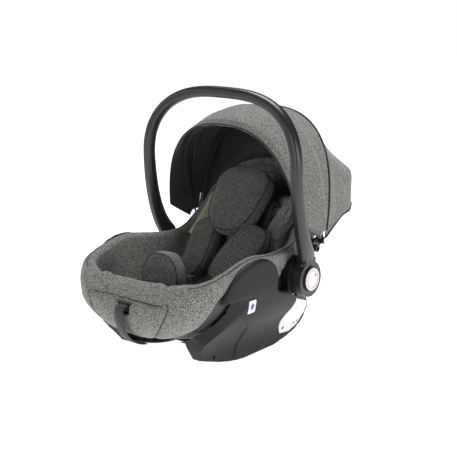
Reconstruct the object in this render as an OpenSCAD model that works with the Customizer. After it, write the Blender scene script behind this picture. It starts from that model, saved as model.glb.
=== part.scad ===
// Infant car seat: padded bucket on a rocker base, turning carry handle,
// folding canopy, three-point harness with buckle and front strap adjuster.
// The seat is drawn about the handle's hinge line and then lifted into place:
// +X is the child's left, -Y the foot end, +Y the head end, +Z up.
// Millimetres, origin under the middle of the seat at floor level.

/* [Placement] */
// Distance of the handle's hinge line behind the origin
hinge_y = 57.4; // [50:0.1:65]
// Height of the handle's hinge line above the floor
hinge_z = 178; // [176:1:182]

/* [Bucket] */
// Wall of the moulded bucket
shell_wall = 3; // [2.5:0.5:4]
// Thickness of the foam impact liner
liner_thick = 11; // [8:1:12]
// Thickness of the padded cover inside the bucket
lining_thick = 4; // [3:0.5:5]
// Thickness of the padded cover outside the bucket
skirt_thick = 6; // [4:1:8]
// Height of the padded roll above the bucket's rim
roll_height = 9; // [6:1:12]
// Squareness of the bucket's cross-section
bucket_power = 2.4; // [2.2:0.1:2.8]

/* [Rocker base] */
// Wall of the base moulding
base_wall = 4; // [3:0.5:5]
// Length of the flat that the seat rests on
base_flat = 110; // [90:5:130]

/* [Handle] */
// Half-width of the arch at its middle line
arch_half = 209; // [208:1:211]
// Height above the hinge line where the legs start to curve inward
arch_start = 240; // [230:1:245]
// Rise of the arch above that point
arch_rise = 156; // [152:1:158]
// Half-depth of the handle's leg at the hub, front to back
leg_depth = 17.5; // [15:0.5:18]
// Half-depth of the handle at the grip, front to back
grip_depth = 13.5; // [12:0.5:15]
// Half-thickness of the handle's section
handle_thick = 12; // [11:0.5:12]
// Radius of the hub housing
hub_r = 40; // [39:0.5:41]
// Radius of the release button
button_r = 27; // [25:0.5:28]

/* [Canopy] */
// Lean of the middle bow behind the vertical, in degrees
mid_lean = 11.3; // [10:0.1:13]
// Lean of the front bow ahead of the vertical, in degrees
front_lean = 24; // [22:0.5:26]
// Radius of the canopy cloth about its pivot
canopy_r = 291; // [286:1:292]
// Half-width of the canopy cloth
canopy_half = 191.6; // [190:0.2:192]

/* [Harness] */
// Width of the harness webbing
web_w = 25; // [23:1:30]
// Thickness of the harness webbing
web_t = 1.6; // [1.2:0.1:2]

/* [Hidden] */

fine = 48;                       // facets of round pieces
gap = 0.3;                       // clearance between layers of the seat
liner_d = -shell_wall - gap;     // outside of the liner, measured from the shell's outside
lining_d = liner_d - liner_thick - gap;
pad_d = lining_d - lining_thick - gap;

charcoal = [0.2, 0.2, 0.21];
graphite = [0.16, 0.17, 0.19];
melange = [0.46, 0.45, 0.43];
black = [0.05, 0.05, 0.05];
steel = [0.7, 0.7, 0.72];
white = [0.9, 0.9, 0.9];

// Bucket stations from the foot end to the head end:
// [keel y, keel z, rim y, rim z, half-width at the rim]
stations = [
  [-358,    4, -350,  12,  94],
  [-366,  -24, -336,  33, 136],
  [-356,  -58, -312,  42, 166],
  [-325,  -84, -283,  48, 180],
  [-280, -100, -250,  56, 184],
  [-220, -114, -205,  67, 184],
  [-150, -125, -155,  69, 181],
  [ -85, -130,  -95,  60, 172],
  [ -25, -128,  -40,  54, 163],
  [  30, -108,    5,  60, 160],
  [  65,  -65,   50,  82, 160],
  [  95,  -10,   95, 112, 161],
  [ 135,   50,  135, 142, 160],
  [ 185,  105,  180, 163, 157],
  [ 228,  148,  220, 180, 150],
  [ 252,  178,  244, 192, 122]
];
last = len(stations) - 1;

// ---- small helpers ----

function unit(v) = v / norm(v);
function clamp(x, low, high) = min(max(x, low), high);
function mix(a, b, t) = a + (b - a) * t;
function signed_pow(x, p) = sign(x) * pow(abs(x), p);

// Catmull-Rom value of a list at a fractional index
function smooth_at(list, u) =
  let (i = clamp(floor(u), 0, len(list) - 2), t = u - i,
       a = list[max(i - 1, 0)], b = list[i], c = list[i + 1], d = list[min(i + 2, len(list) - 1)])
  0.5 * (2 * b + (c - a) * t + (2 * a - 5 * b + 4 * c - d) * t * t
         + (3 * b - a - 3 * c + d) * t * t * t);

// Draws the children as one mesh
module as_mesh() resize([0, 0, 0]) children();

// Lifts the seat from its hinge line to its place above the floor
module seated() translate([0, hinge_y, hinge_z]) children();

// A round bar along +X that starts at x
module bar_x(x, r, h, y = 0, z = 0) {
  translate([x, y, z]) rotate([0, 90, 0]) cylinder(r = r, h = h, $fn = fine);
}

// Draws a left-hand piece on the side asked for: 1 is left, -1 is right
module on_side(s) mirror([s < 0 ? 1 : 0, 0, 0]) children();

// Skin over a list of rings that all have the same number of points
module loft(rings) {
  n = len(rings[0]);
  m = len(rings);
  points = [for (ring = rings) each ring];
  sides = [for (i = [0 : m - 2], j = [0 : n - 1])
    let (k = (j + 1) % n)
    each [[i * n + j, i * n + k, (i + 1) * n + k], [i * n + j, (i + 1) * n + k, (i + 1) * n + j]]];
  first_cap = [[for (j = [n - 1 : -1 : 0]) j]];
  last_cap = [[for (j = [0 : n - 1]) (m - 1) * n + j]];
  polyhedron(points, concat(sides, first_cap, last_cap), convexity = 8);
}

// Tangent of a path at point i
function path_tangent(path, i) =
  unit(path[min(i + 1, len(path) - 1)] - path[max(i - 1, 0)]);

// Round rod along a path
module rod(path, r, sides = 8) {
  loft([for (i = [0 : len(path) - 1])
    let (t = path_tangent(path, i),
         a = unit(cross(t, abs(t[0]) > 0.9 ? [0, 1, 0] : [1, 0, 0])),
         b = cross(t, a))
    [for (j = [0 : sides - 1]) let (q = -360 * j / sides) path[i] + r * (a * cos(q) + b * sin(q))]]);
}

// Flat webbing along a path, its width near the X direction
module webbing(path, width, thick) {
  loft([for (i = [0 : len(path) - 1])
    let (t = path_tangent(path, i), side = unit([1, 0, 0] - t * t[0]), up = cross(side, t),
         a = side * width / 2, b = up * thick / 2)
    [path[i] + a + b, path[i] - a + b, path[i] - a - b, path[i] + a - b]]);
}

// ---- bucket surface ----

across = 18;        // facets across the bucket
along = 2;          // rings for each station

function bucket_point(u, a) =
  let (s = smooth_at(stations, clamp(u, 0, last)),
       x = s[4] * signed_pow(sin(a), 2 / bucket_power),
       v = pow(abs(cos(a)), 2 / bucket_power))
  [x, mix(s[2], s[0], v), mix(s[3], s[1], v)];

// Outward normal of the bucket at (u, a); a runs from -90 at one rim to 90 at the other
function bucket_normal(u, a) =
  let (e = 0.05, f = 2, b = clamp(a, -88, 88),
       du = bucket_point(min(u + e, last), b) - bucket_point(max(u - e, 0), b),
       da = bucket_point(u, b + f) - bucket_point(u, b - f))
  unit(cross(du, da));

function bucket_ring(u, d, rise) =
  let (lift = [0, 0, rise])
  concat(
    [bucket_point(u, -90) + d * bucket_normal(u, -90) + lift],
    [for (j = [0 : across])
      let (a = -90 + 180 * j / across) bucket_point(u, a) + d * bucket_normal(u, a)],
    [bucket_point(u, 90) + d * bucket_normal(u, 90) + lift]);

// The bucket's volume, grown by d and closed by a lid that stands rise above the rim
module bucket(d, rise) {
  rings = [for (i = [0 : last * along]) bucket_ring(i / along, d, rise)];
  lift = [0, 0, rise];
  raised_foot = [for (p = rings[0]) p + lift];
  raised_head = [for (p = rings[len(rings) - 1]) p + lift];
  loft(concat([raised_foot], rings, [raised_head]));
}

open_top = 90;      // how far a cut reaches above the rim

// Slots that the shoulder straps and the crotch strap pass through
module strap_slots() {
  for (s = [-1, 1])
    translate([s * 52, 116, 100]) rotate([-42, 0, 0]) cube([34, 150, 9], center = true);
  translate([0, -196, -105]) cube([34, 9, 60], center = true);
}

// Opening for the strap adjuster in the foot end
module adjuster_opening() {
  translate([-22, -369, -31]) cube([44, 40, 30]);
  translate([-16, -392, -28]) cube([32, 40, 24]);
}

module seat_shell() {
  color(charcoal) seated() as_mesh() difference() {
    bucket(0, 1);
    bucket(-shell_wall, open_top);
    strap_slots();
    adjuster_opening();
  }
}

module impact_liner() {
  color([0.85, 0.85, 0.85]) seated() as_mesh() difference() {
    bucket(liner_d, 0.5);
    bucket(liner_d - liner_thick, open_top);
    strap_slots();
    adjuster_opening();
  }
}

// Lower edge of the cover's outside, as a side view below which the moulding is bare
skirt_line = [
  [-420, -96], [-340, -96], [-322, -66], [-300, -16], [-283, 12], [-262, 32], [-232, 54],
  [-205, 66], [-160, 66], [-118, 40], [-84, 10], [-58, 6], [-40, 22], [0, 34], [50, 58],
  [100, 88], [150, 120], [205, 148], [300, 156]
];

module below_skirt() {
  rotate([90, 0, 90]) translate([0, 0, -300]) linear_extrude(600)
    polygon(concat(skirt_line, [[300, -300], [-420, -300]]));
}

// Padded roll that stands over the foot end between the two side walls
module foot_roll() {
  hull() for (s = [-1, 1]) translate([s * 60, -353, 16]) sphere(r = 21, $fn = 20);
}

module seat_cover() {
  color(melange) seated() as_mesh() difference() {
    union() {
      difference() {
        bucket(skirt_thick, roll_height);
        bucket(lining_d - lining_thick, open_top);
      }
      foot_roll();
    }
    difference() {
      bucket(gap, 2.5);
      bucket(lining_d, open_top);
    }
    difference() {
      below_skirt();
      bucket(gap / 2, open_top);
    }
    strap_slots();
    adjuster_opening();
    for (s = [-1, 1]) on_side(s) bar_x(161.4, 45, 30);
  }
}

// ---- soft inserts ----

pad_thick = 22;

module seat_pad() {
  color(melange) seated() as_mesh() difference() {
    intersection() {
      bucket(pad_d, 0.5);
      translate([0, -60, 60]) hull() for (y = [-190, 150], s = [-1, 1])
        translate([s * (y < 0 ? 62 : 78), y, -260]) cylinder(r = 40, h = 420, $fn = 32);
      rotate([0, 90, 0]) translate([0, 0, -200]) linear_extrude(400)
        polygon([[300, -270], [300, 150], [-124, 150], [-112, 60], [-20, -80], [-20, -270]]);
    }
    difference() {
      bucket(pad_d - pad_thick, open_top);
      translate([-200, 0, 0]) rotate([90, 0, 90]) linear_extrude(400)
        polygon([[-76, -120], [115, 200], [115, 400], [400, 400], [400, -120]]);
    }
    strap_slots();
  }
}

// A cushion with an oval outline, drawn upright and then laid at its place
module cushion(place, turn, size) {
  translate(place) rotate(turn) scale([size[0] / 2, size[1] / 2, size[2] / 2]) sphere(r = 1, $fn = 32);
}

module head_pillow() {
  color(melange) seated() cushion([0, 36, 152], [-36, 0, 0], [162, 60, 160]);
}

module shoulder_pad(s) {
  color(melange) seated() on_side(s) cushion([52, -48, 41], [-49, 18, 0], [66, 32, 140]);
}
module shoulder_pad_left() shoulder_pad(1);
module shoulder_pad_right() shoulder_pad(-1);

module crotch_pad() {
  color(melange) seated() cushion([0, -250, 9], [-4, 0, 0], [88, 36, 130]);
}

// ---- harness ----

strap_route = [
  [23, -197.6, 4], [24, -188, 17], [28, -150, 3], [34, -110, -10], [38, -84, -19], [46, -28, 29],
  [51, 30, 79], [52, 50, 110], [52, 58, 134], [52, 72, 139.5], [52, 100, 114.4]
];

module shoulder_strap(s) {
  color(black) seated() on_side(s) webbing(strap_route, web_w, web_t);
}
module shoulder_strap_left() shoulder_strap(1);
module shoulder_strap_right() shoulder_strap(-1);

module crotch_strap() {
  color(black) seated()
    webbing([[0, -196, -128], [0, -196, -100], [0, -197, -76], [0, -199, -66]], web_w, web_t);
}

buckle_place = [0, -200, -34];

module buckle_body() {
  color(graphite) seated() translate(buckle_place) difference() {
    union() {
      translate([-26, -11, -30]) cube([52, 22, 52]);
      translate([-20, -11, 22]) cube([40, 22, 6]);
    }
    translate([-14, -14, -18]) cube([28, 15, 26]);
    for (s = [-1, 1]) translate([s * 15 - 8, -3, 14]) cube([16, 6, 20]);
    translate([-14, -1.6, -31]) cube([28, 3.2, 9]);
  }
}

module buckle_button() {
  color([0.7, 0.12, 0.1]) seated() translate(buckle_place)
    translate([-13.4, -13, -17.4]) cube([26.8, 9, 24.8]);
}

module buckle_spring() {
  color(steel) seated() translate(buckle_place) translate([0, -0.6, -5]) rotate([90, 0, 0])
    difference() {
      cylinder(r = 5, h = 3.2, $fn = fine);
      translate([0, 0, -1]) cylinder(r = 4, h = 6, $fn = fine);
    }
}

module buckle_tongue(s) {
  color(steel) seated() translate(buckle_place) on_side(s) difference() {
    union() {
      translate([8.5, -1.25, 16]) cube([13, 2.5, 22]);
      translate([8.5, -1.25, 34]) cube([30, 2.5, 18]);
    }
    translate([10.5, -3, 38]) cube([26, 6, 5]);
  }
}
module buckle_tongue_left() buckle_tongue(1);
module buckle_tongue_right() buckle_tongue(-1);

// ---- strap adjuster in the foot end ----

lever_pin = [-361, -23];

module adjuster_housing() {
  color(graphite) seated() difference() {
    translate([-21, -368, -30]) cube([42, 28, 28]);
    translate([-15, -380, -12.5]) cube([30, 50, 6]);
    translate([-15.5, -380, -12.6]) cube([31, 18, 8.1]);
    translate([-16, -380, -28]) cube([32, 34, 12]);
    bar_x(-18.5, 1.55, 37, lever_pin[0], lever_pin[1]);
  }
}

module adjuster_lever() {
  color(steel) seated() difference() {
    union() {
      bar_x(-14, 2.8, 28, lever_pin[0], lever_pin[1]);
      translate([-14, lever_pin[0], lever_pin[1] - 1.2]) cube([28, 14, 2.4]);
    }
    bar_x(-15, 1.55, 30, lever_pin[0], lever_pin[1]);
  }
}

module adjuster_pin() {
  color(steel) seated() bar_x(-18, 1.5, 36, lever_pin[0], lever_pin[1]);
}

adjuster_route = [
  [0, -343, -9.5], [0, -372, -9.5], [0, -381, -14], [0, -384, -25], [0, -382, -45], [0, -374, -66],
  [0, -360, -84], [4, -342, -98], [8, -318, -104]
];

module adjuster_strap() color(black) seated() webbing(adjuster_route, web_w, web_t);

module strap_yoke() {
  color(steel) seated() translate([0, 89, -38]) rotate([-119, 0, 0]) difference() {
    translate([-32, -20, 0]) cube([64, 40, 3]);
    for (s = [-1, 1]) translate([s * 15 - 13.5, 6, -1]) cube([27, 6, 5]);
    translate([-13.5, -13, -1]) cube([27, 6, 5]);
  }
}

module rear_belt_guide() {
  color([0.1, 0.2, 0.5]) seated() translate([0, 123, 25]) rotate([-124, 0, 0]) difference() {
    translate([-35, -16, 0]) cube([70, 32, 16]);
    translate([-40, -8, 4]) cube([80, 16, 7]);
    translate([-25, 2, 4]) cube([50, 20, 7]);
  }
}

// ---- rocker base ----

rock_y = -40;       // middle of the flat that the seat rests on

base_profile = concat(
  [[-281, -107], [-261, -138], [-220, -152]],
  [for (t = [0 : 0.2 : 1]) mix([-185, -163], [rock_y - base_flat / 2 - 12, -hinge_z], t)
     + [0, -2 * sin(180 * t)]],
  [[rock_y + base_flat / 2, -hinge_z], [60, -170], [95, -157], [113, -142], [116, -130]],
  [[100, -104], [78, -76], [62, -48]],
  [for (q = [-20 : 20 : 180]) 46 * [cos(q), sin(q)]],
  [[-48, -22], [-100, -4], [-94, 14]],
  [for (q = [0 : 15 : 90]) [-163, 18] + [69 * cos(q), 57 * sin(q)]],
  [[-190, 74], [-216, 68], [-240, 56], [-262, 38], [-285, 6], [-302, -30], [-303, -62], [-292, -82]]
);

base_plan = [[-318, 100], [-300, 124], [-290, 142], [-276, 162], [-262, 175], [-240, 185], [-215, 191],
             [-185, 195], [-160, 197], [-110, 197], [-60, 190], [0, 178], [60, 158], [118, 130]];

// Plan of the raised ears, which reach further round the sides of the seat
ear_plan = [[-310, 150], [-296, 178], [-283, 190], [-262, 196], [-230, 198], [-195, 199], [-150, 199], [-90, 196],
            [-60, 190], [0, 178]];

base_section = [[80, 199], [20, 199], [0, 197], [-40, 187], [-70, 168], [-100, 140], [-130, 118],
                [-153, 110], [-178, 106]];

// Outline of a plan of half-widths, mirrored to both sides
function both_sides(plan) =
  concat([for (p = plan) [p[1], p[0]]], [for (i = [len(plan) - 1 : -1 : 0]) [-plan[i][1], plan[i][0]]]);

// The base's outside shrunk by t
module base_block(t) {
  intersection() {
    rotate([90, 0, 90]) translate([0, 0, -220]) linear_extrude(440)
      offset(delta = -t) polygon(base_profile);
    union() {
      translate([0, 0, -200]) linear_extrude(320) offset(delta = -t) polygon(both_sides(base_plan));
      translate([0, 0, 2 + t]) linear_extrude(120) offset(delta = -t) polygon(both_sides(ear_plan));
    }
    rotate([90, 0, 0]) translate([0, 0, -200]) linear_extrude(600) offset(delta = -t)
      polygon(both_sides(base_section));
  }
}

module base_hollow() {
  intersection() {
    rotate([90, 0, 90]) translate([0, 0, -220]) linear_extrude(440) polygon(concat(
      [for (p = base_profile) if (p[1] < -103) p + [p[0] > 0 ? -base_wall : base_wall, base_wall]],
      [[74, -60], [300, 200], [-240, 200], [-272, 10], [-290, -30], [-288, -80]]));
    translate([0, 0, -200]) linear_extrude(400) offset(delta = -base_wall)
      polygon(concat([for (p = base_plan) [p[1], p[0]]], [[130, 126], [-130, 126]],
                     [for (i = [len(base_plan) - 1 : -1 : 0]) [-base_plan[i][1], base_plan[i][0]]]));
    rotate([90, 0, 0]) translate([0, 0, -200]) linear_extrude(600) offset(delta = -base_wall)
      polygon(concat([[197, 120]], both_sides(base_section), [[-197, 120]]));
  }
}

module rocker_base() {
  color(charcoal) seated() as_mesh() difference() {
    union() {
      difference() {
        base_block(0);
        base_hollow();
      }
      for (s = [-1, 1]) on_side(s) bar_x(146, 44, 15.7);
    }
    for (s = [-1, 1]) on_side(s) {
      bar_x(161.7, 43, 60);
      bar_x(140, 6.3, 60);
    }
    translate([-94, -400, -200]) cube([188, 300, 104]);
    bucket(skirt_thick + 1.2, open_top);
  }
}

// Screw heads that hold the lock plates
module plate_screws() {
  color(steel) seated() for (s = [-1, 1], q = [45 : 90 : 315]) on_side(s)
    bar_x(170.1, 3.5, 1.2, 32.5 * cos(q), 32.5 * sin(q));
}

// ---- handle and its lock ----

plate_x = 162;      // inner face of the lock plate
hub_x = 172;        // inner face of the handle's hub
hub_w = 40;

module lock_plate(s) {
  color(graphite) seated() on_side(s) difference() {
    bar_x(plate_x, 38, 8);
    bar_x(plate_x + 2, 27, 10);
    bar_x(plate_x - 1, 6.05, 10);
  }
}
module lock_plate_left() lock_plate(1);
module lock_plate_right() lock_plate(-1);

module hub_spindle(s) {
  color(steel) seated() on_side(s) {
    bar_x(162.2, 6, 38);
    bar_x(200.2, 9, 2.4);
  }
}
module hub_spindle_left() hub_spindle(1);
module hub_spindle_right() hub_spindle(-1);

gear_teeth = 12;

module spline_bar(x, r, h) {
  translate([x, 0, 0]) rotate([0, 90, 0]) linear_extrude(h)
    polygon([for (i = [0 : 4 * gear_teeth - 1])
      let (q = 360 * (i + 0.5) / (4 * gear_teeth), k = i % 4 < 2 ? r : r - 4) k * [cos(q), sin(q)]]);
}

module lock_gear(s) {
  color(white) seated() on_side(s) difference() {
    spline_bar(168.6, 24, 11);
    bar_x(160, 6.3, 30);
  }
}
module lock_gear_left() lock_gear(1);
module lock_gear_right() lock_gear(-1);

saddle_top = 46;    // height of the hub's saddle where the leg begins

module handle_hub(s) {
  color(graphite) seated() on_side(s) difference() {
    union() {
      bar_x(hub_x, hub_r, hub_w);
      translate([188, -leg_depth - 1, 20]) cube([24, 2 * leg_depth + 2, saddle_top - 20]);
    }
    spline_bar(hub_x - 1, 24.6, 15);
    bar_x(hub_x, 6.1, hub_w);
    bar_x(hub_x + 28, button_r + 0.5, hub_w);
    for (q = [0 : 120 : 240]) bar_x(hub_x, 3, hub_w, 20 * cos(q), 20 * sin(q));
  }
}
module handle_hub_left() handle_hub(1);
module handle_hub_right() handle_hub(-1);

module release_button(s) {
  color(graphite) seated() on_side(s) {
    bar_x(207.6, button_r, 8.6);
    for (q = [0 : 120 : 240]) bar_x(179.6, 2.5, 28, 20 * cos(q), 20 * sin(q));
  }
}
module release_button_left() release_button(1);
module release_button_right() release_button(-1);

// Plain round mark on the button
module button_disc(s) {
  color(white) seated() on_side(s) bar_x(216.2, button_r - 2, 1);
}
module button_disc_left() button_disc(1);
module button_disc_right() button_disc(-1);

spring_turns = 3;

module release_spring(s) {
  color(steel) seated() on_side(s) rod([for (i = [0 : 16 * spring_turns])
    let (q = 360 * i / 16, x = mix(201.1, 206.7, i / (16 * spring_turns)))
    [x, 14 * cos(q), 14 * sin(q)]], 0.7, 6);
}
module release_spring_left() release_spring(1);
module release_spring_right() release_spring(-1);

// Side view of the handle: how far it lies behind the hinge line at height z
function arch_y(z) = -0.43 * z + 0.00085 * z * z;

// Middle line of the handle; q runs from -1 at one hub to 1 at the other
function arch_point(q) =
  let (s = abs(q), leg_end = 0.45,
       z = s > leg_end ? mix(arch_start, saddle_top + 0.1, (s - leg_end) / (1 - leg_end))
                       : arch_start + arch_rise * pow(cos(90 * s / leg_end), 0.88),
       x = s > leg_end ? arch_half - 9 * exp(-(z - saddle_top) / 26)
                       : arch_half * pow(sin(90 * s / leg_end), 0.71))
  [sign(q) * x, arch_y(z) - arch_y(saddle_top) * exp(-(z - saddle_top) / 50), z];

module handle_bow() {
  steps = 48;
  path = [for (i = [-steps / 2 : steps / 2]) arch_point(2 * i / steps)];
  color(graphite) seated() loft([for (i = [0 : steps])
    let (at_end = i == 0 || i == steps,
         t = at_end ? [0, 0, i == 0 ? 1 : -1] : path_tangent(path, i),
         front = unit([0, 1, 0] - t * t[1]), out = cross(front, t),
         low = clamp((path[i][2] - saddle_top) / (arch_start - saddle_top), 0, 1),
         depth = mix(leg_depth, grip_depth, low))
    [for (j = [0 : 15]) let (q = -22.5 * j)
      path[i] + front * depth * signed_pow(cos(q), 0.8) + out * handle_thick * signed_pow(sin(q), 0.8)]]);
}

// ---- canopy ----

pivot = [90, 65];   // canopy hinge line, y and z from the handle's hinge line
bow_r = 283;        // radius of the bows
mid_half = 179;     // half-width of the middle bow
front_half = 184.3; // half-width of the front bow
bow_rod = 2.5;      // radius of the bows' rods
cloth = 1.5;        // thickness of the canopy cloth
below = 54;         // how far the bows' curve starts below the pivot

// Half-width of a bow at distance r from the pivot
function bow_x(half, top, r) = half * pow(1 - pow(min(1, (r + below) / (top + below)), 3.45), 1 / 2.37);

// Distance from the pivot where a bow has the half-width x
function bow_reach(half, top, x) =
  (top + below) * pow(1 - pow(min(1, abs(x) / half), 2.37), 1 / 3.45) - below;

// Turns the children from a plane that stands on the pivot; lean 0 is upright
module about_pivot(lean = 0) {
  translate([0, pivot[0], pivot[1]]) rotate([-lean, 0, 0]) children();
}

// Points of half a bow's curve, from its foot to the middle, as [half-width, reach]
function half_bow(half, top, foot, n) = concat(
  [for (i = [0 : n]) let (r = mix(foot, top * 0.9, i / n)) [bow_x(half, top, r), r]],
  [for (i = [1 : n]) let (x = bow_x(half, top, top * 0.9) * (1 - i / n)) [x, bow_reach(half, top, x)]]);

function full_bow(half, top, foot, n) =
  let (h = half_bow(half, top, foot, n), m = len(h))
  concat([for (p = h) p], [for (i = [m - 2 : -1 : 0]) [-h[i][0], h[i][1]]]);

eye_r = 8;

module bow(half, lean) {
  color(graphite) seated() about_pivot(lean)
    rod([for (p = full_bow(half, bow_r, eye_r + 0.2, 9)) [p[0], 0, p[1]]], bow_rod);
}
module mid_bow() bow(mid_half, mid_lean);
module front_bow() bow(front_half, -front_lean);

module bow_eye(s, half) {
  color(graphite) seated() on_side(s) difference() {
    bar_x(half - 2.3, eye_r, 4.6, pivot[0], pivot[1]);
    bar_x(half - 4, 4.05, 8, pivot[0], pivot[1]);
  }
}
module mid_bow_eye_left() bow_eye(1, mid_half);
module mid_bow_eye_right() bow_eye(-1, mid_half);
module front_bow_eye_left() bow_eye(1, front_half);
module front_bow_eye_right() bow_eye(-1, front_half);

module canopy_pin(s) {
  color(steel) seated() on_side(s) {
    bar_x(170.2, 4, 17, pivot[0], pivot[1]);
    bar_x(187.2, 6, 1.6, pivot[0], pivot[1]);
  }
}
module canopy_pin_left() canopy_pin(1);
module canopy_pin_right() canopy_pin(-1);

module canopy_bracket(s) {
  color(black) seated() on_side(s) as_mesh() difference() {
    union() {
      hull() for (p = [[pivot[0], pivot[1]], [62, 52]])
        translate([168, p[0], p[1]]) rotate([0, 90, 0]) cylinder(r = 11, h = 7, $fn = 32);
      translate([150, 66, 46]) cube([20, 30, 24]);
      bar_x(174, 8, 14, 62, 52);
    }
    bar_x(140, 4.2, 60, pivot[0], pivot[1]);
    bar_x(176, 4.5, 20, 62, 52);
    bucket(skirt_thick + 0.6, roll_height + 1);
  }
}
module canopy_bracket_left() canopy_bracket(1);
module canopy_bracket_right() canopy_bracket(-1);

// Cloth turned about the pivot between two leans
module turned_cloth(half, top, from, to, foot) {
  outer = full_bow(half, top, foot, 8);
  inner = full_bow(half - cloth, top - cloth, foot, 8);
  m = len(outer);
  about_pivot() rotate([0, -90, 0]) rotate_extrude(angle = to - from, start = from, $fn = 90)
    polygon(concat([for (p = outer) [p[1], p[0]]], [for (i = [m - 1 : -1 : 0]) [inner[i][1], inner[i][0]]]));
}

foot_r = 24;        // how close to the pivot the side cloth starts
hem_flare = 9;      // the front panel stands this much further out
panel_split = -9;   // lean where the front panel ends and the middle panel begins

module canopy_front_panel() {
  color(melange) seated() difference() {
    turned_cloth(canopy_half, canopy_r + hem_flare, -64, panel_split, foot_r);
    translate([-250, -1 , 65]) rotate([10.3, 0, 0]) translate([0, -300, -200]) cube([500, 300, 700]);
  }
}

module canopy_mid_panel() {
  color(melange) seated()
    turned_cloth(canopy_half - 2.8, canopy_r - 2.8, panel_split + 0.5, mid_lean - 0.3, foot_r);
}

// Edge of the rear panel round the head end; t runs from 0 at the side to 1 in the middle
head_edge = [
  [174, 112, 72], [173, 150, 118], [171, 190, 162], [165, 233, 191], [142, 259, 203], [74, 268, 207], [0, 270, 208]
];
rear_half = 174;
rear_top = 276;

function rear_bow_point(t) =
  let (reach = t < 0.55 ? mix(40, rear_top * 0.9, t / 0.55) : 0,
       x = t < 0.55 ? bow_x(rear_half, rear_top, reach)
                    : bow_x(rear_half, rear_top, rear_top * 0.9) * (1 - (t - 0.55) / 0.45),
       r = t < 0.55 ? reach : bow_reach(rear_half, rear_top, x))
  [x, pivot[0] + r * sin(mid_lean + 0.8), pivot[1] + r * cos(mid_lean + 0.8)];

function rear_point(t, s) =
  let (edge = smooth_at(head_edge, t * (len(head_edge) - 1)), sag = [0, -7, -9] * sin(180 * min(s, 1)) * t,
       skirt = [t > 0.6 ? -edge[0] * 0.03 : 0, -6 * t, -mix(6, 76, min(1, t * 2.2))])
  s <= 1 ? rear_bow_point(t) * (1 - s) + edge * s + sag : edge + skirt * (s - 1);

module canopy_rear_panel() {
  n = 12;
  levels = [0, 0.33, 0.66, 1, 1.5, 2];
  centre = [0, 90, 70];
  function ring_side(t, sx) = concat(
    [for (s = levels) let (p = rear_point(t, s)) [sx * p[0], p[1], p[2]]],
    [for (i = [len(levels) - 1 : -1 : 0])
      let (p = rear_point(t, levels[i]), q = p - cloth * 1.4 * unit(p - centre)) [sx * q[0], q[1], q[2]]]);
  color(melange) seated() loft([for (i = [-n : n]) ring_side(1 - abs(i) / n, i < 0 ? 1 : -1)]);
}

// ---- blank labels ----

// A label's outline in side view, laid on the base's left side
module base_label(outline) {
  color(white) seated() as_mesh() intersection() {
    difference() {
      base_block(-0.5);
      base_block(-0.1);
    }
    translate([100, 0, 0]) rotate([90, 0, 90]) linear_extrude(110) polygon(outline);
  }
}

module side_label() base_label([[-198, -7], [-176, -7], [-173, -36], [-198, -36]]);
module rear_label()
  base_label([[-12, -46], [4, -116], [28, -155], [66, -158], [94, -147], [102, -136], [102, -116], [68, -73]]);
module seat_tag() {
  color([0.9, 0.85, 0.6]) seated() translate([-120.5, -12, 58]) rotate([-32, 0, 0]) cube([1, 30, 112]);
}

// Every node
seat_shell();
rocker_base();
impact_liner();
seat_cover();
seat_pad();
head_pillow();
shoulder_pad_left();
shoulder_pad_right();
crotch_pad();
shoulder_strap_left();
shoulder_strap_right();
crotch_strap();
buckle_body();
buckle_button();
buckle_spring();
buckle_tongue_left();
buckle_tongue_right();
adjuster_housing();
adjuster_lever();
adjuster_pin();
adjuster_strap();
strap_yoke();
rear_belt_guide();
canopy_bracket_left();
canopy_bracket_right();
canopy_pin_left();
canopy_pin_right();
mid_bow();
mid_bow_eye_left();
mid_bow_eye_right();
front_bow();
front_bow_eye_left();
front_bow_eye_right();
canopy_front_panel();
canopy_mid_panel();
canopy_rear_panel();
lock_plate_left();
lock_plate_right();
hub_spindle_left();
hub_spindle_right();
handle_bow();
handle_hub_left();
handle_hub_right();
lock_gear_left();
lock_gear_right();
release_spring_left();
release_spring_right();
release_button_left();
release_button_right();
button_disc_left();
button_disc_right();
side_label();
rear_label();
seat_tag();
plate_screws();
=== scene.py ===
import math

import bmesh
import bpy
import numpy as np
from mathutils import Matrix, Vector
from mathutils.bvhtree import BVHTree


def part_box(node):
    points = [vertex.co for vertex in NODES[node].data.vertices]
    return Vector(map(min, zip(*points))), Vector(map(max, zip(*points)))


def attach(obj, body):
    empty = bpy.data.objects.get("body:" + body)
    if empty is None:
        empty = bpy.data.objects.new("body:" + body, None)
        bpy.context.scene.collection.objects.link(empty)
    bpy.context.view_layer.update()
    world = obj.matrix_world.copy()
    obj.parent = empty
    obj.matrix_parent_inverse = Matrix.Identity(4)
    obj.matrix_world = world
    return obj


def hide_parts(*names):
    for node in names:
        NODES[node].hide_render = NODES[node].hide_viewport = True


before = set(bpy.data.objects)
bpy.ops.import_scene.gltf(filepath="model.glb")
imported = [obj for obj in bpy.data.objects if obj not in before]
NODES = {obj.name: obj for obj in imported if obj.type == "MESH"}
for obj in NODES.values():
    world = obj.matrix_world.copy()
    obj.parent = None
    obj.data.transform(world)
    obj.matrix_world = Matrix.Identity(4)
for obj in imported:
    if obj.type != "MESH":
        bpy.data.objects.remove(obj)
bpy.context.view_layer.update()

# Hinge line of the handle: every shape below is written from it, in millimetres.
_lo, _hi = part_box("hub_spindle_left")
HY = (_lo[1] + _hi[1]) / 2
HZ = (_lo[2] + _hi[2]) / 2


def place(points):
    return np.asarray(points, float).reshape(-1, 3) / 1000 + [0, HY, HZ]


def local(points):
    return (np.asarray(points, float).reshape(-1, 3) - [0, HY, HZ]) * 1000


# ---------------------------------------------------------------- mesh helpers

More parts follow.
